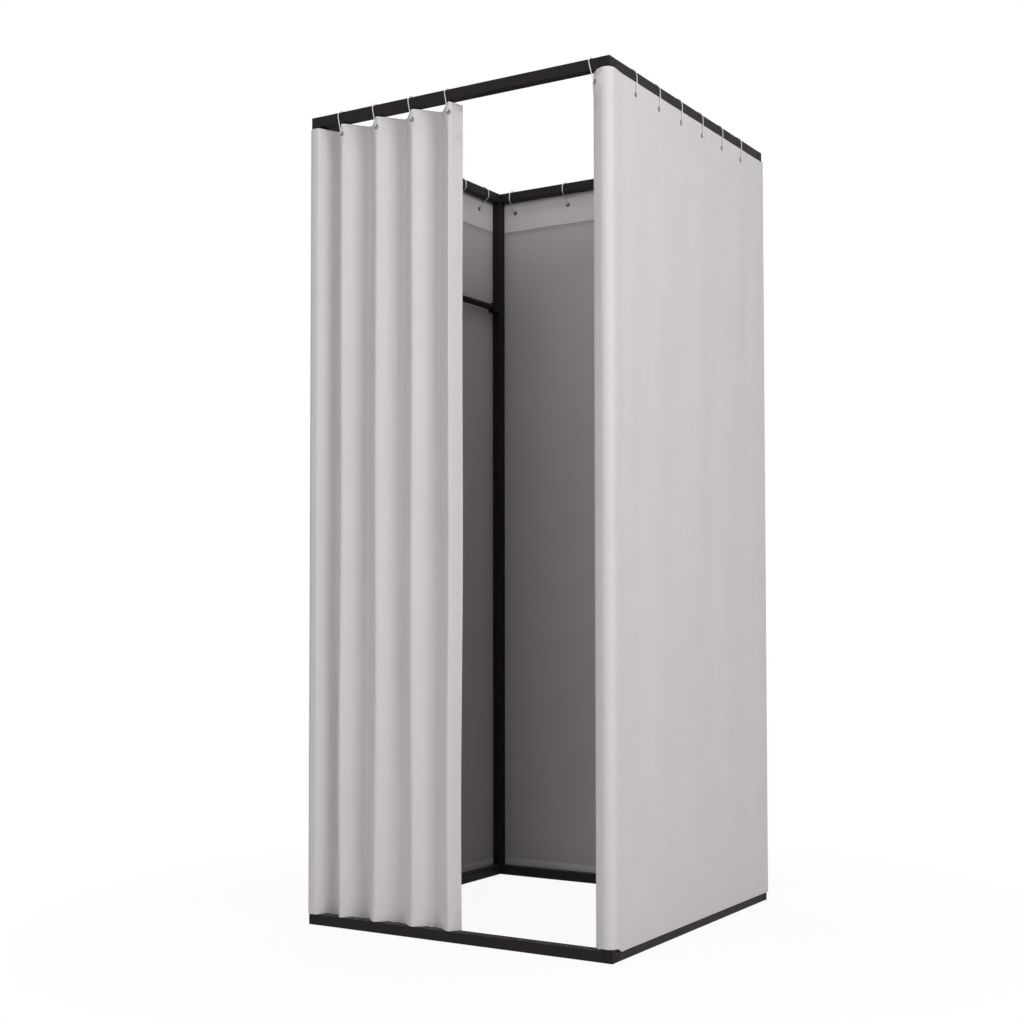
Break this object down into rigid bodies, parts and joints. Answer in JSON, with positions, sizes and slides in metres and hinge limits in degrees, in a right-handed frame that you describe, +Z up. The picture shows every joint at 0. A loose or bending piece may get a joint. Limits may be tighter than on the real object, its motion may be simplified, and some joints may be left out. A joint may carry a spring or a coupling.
{
  "type": "portable fitting room",
  "caption": "Free-standing square changing cabin: a tube frame with cloth walls on wire rings, a hanging rail inside and a pleated curtain that slides across the front.",
  "frame": {"origin": "on the floor, under the middle of the object's box, which is the middle of the square frame", "axes": "+Z up, -Y out of the front, where the curtain and the doorway are, +X towards the right wall seen from the front"},
  "size_m": [0.8646, 0.8646, 2.0073],
  "materials": {
    "tube": "black powder coat, half matt",
    "connector": "black moulded plastic with a fine grain",
    "ring": "nickel plated wire",
    "screw": "bright zinc",
    "cloth": "pale grey plain weave, darker inside"
  },
  "bodies": {
    "frame": {"post_front_left": "tube", "post_back_left": "tube", "post_front_right": "tube", "post_back_right": "tube", "base_rail_front": "tube", "base_rail_back": "tube", "base_rail_left": "tube", "base_rail_right": "tube", "top_rail_front": "tube", "top_rail_back": "tube", "top_rail_left": "tube", "top_rail_right": "tube", "base_corner_front_left": "connector", "base_corner_front_right": "connector", "base_corner_back_right": "connector", "base_corner_back_left": "connector", "top_corner_front_left": "connector", "top_corner_front_right": "connector", "top_corner_back_right": "connector", "top_corner_back_left": "connector", "hanger_rail": "tube", "hanger_socket_front": "connector", "hanger_socket_back": "connector", "hanger_screw_front": "screw", "hanger_screw_back": "screw", "right_cloth": "cloth", "back_cloth": "cloth", "left_cloth": "cloth", "lip_ring": "ring", "right_ring_1": "ring", "right_ring_2": "ring", "right_ring_3": "ring", "right_ring_4": "ring", "right_ring_5": "ring", "right_ring_6": "ring", "left_ring_1": "ring", "left_ring_2": "ring", "left_ring_3": "ring", "left_ring_4": "ring", "left_ring_5": "ring", "left_ring_6": "ring", "back_ring_1": "ring", "back_ring_2": "ring", "back_ring_3": "ring", "back_ring_4": "ring", "back_ring_5": "ring"},
    "curtain": {"front_curtain": "cloth"},
    "curtain_ring_one": {"curtain_ring_1": "ring"},
    "curtain_ring_two": {"curtain_ring_2": "ring"},
    "curtain_ring_three": {"curtain_ring_3": "ring"},
    "curtain_ring_four": {"curtain_ring_4": "ring"}
  },
  "joints": [
    {"name": "curtain_slide", "type": "slide", "parent": "frame", "child": "curtain", "axis": [1, 0, 0], "range_m": [-0.21, 0.37], "deforming": ["front_curtain"]},
    {"name": "ring_one_slide", "type": "slide", "parent": "frame", "child": "curtain_ring_one", "axis": [1, 0, 0], "range_m": [-0.0109, 0.0191]},
    {"name": "ring_two_slide", "type": "slide", "parent": "frame", "child": "curtain_ring_two", "axis": [1, 0, 0], "range_m": [-0.0777, 0.1368]},
    {"name": "ring_three_slide", "type": "slide", "parent": "frame", "child": "curtain_ring_three", "axis": [1, 0, 0], "range_m": [-0.1612, 0.2839]},
    {"name": "ring_four_slide", "type": "slide", "parent": "frame", "child": "curtain_ring_four", "axis": [1, 0, 0], "range_m": [-0.2091, 0.3684]}
  ],
  "couplings": [
    {"joint": "ring_one_slide", "follows": "curtain_slide", "ratio": 0.0516},
    {"joint": "ring_two_slide", "follows": "curtain_slide", "ratio": 0.3697},
    {"joint": "ring_three_slide", "follows": "curtain_slide", "ratio": 0.7672},
    {"joint": "ring_four_slide", "follows": "curtain_slide", "ratio": 0.9956}
  ]
}
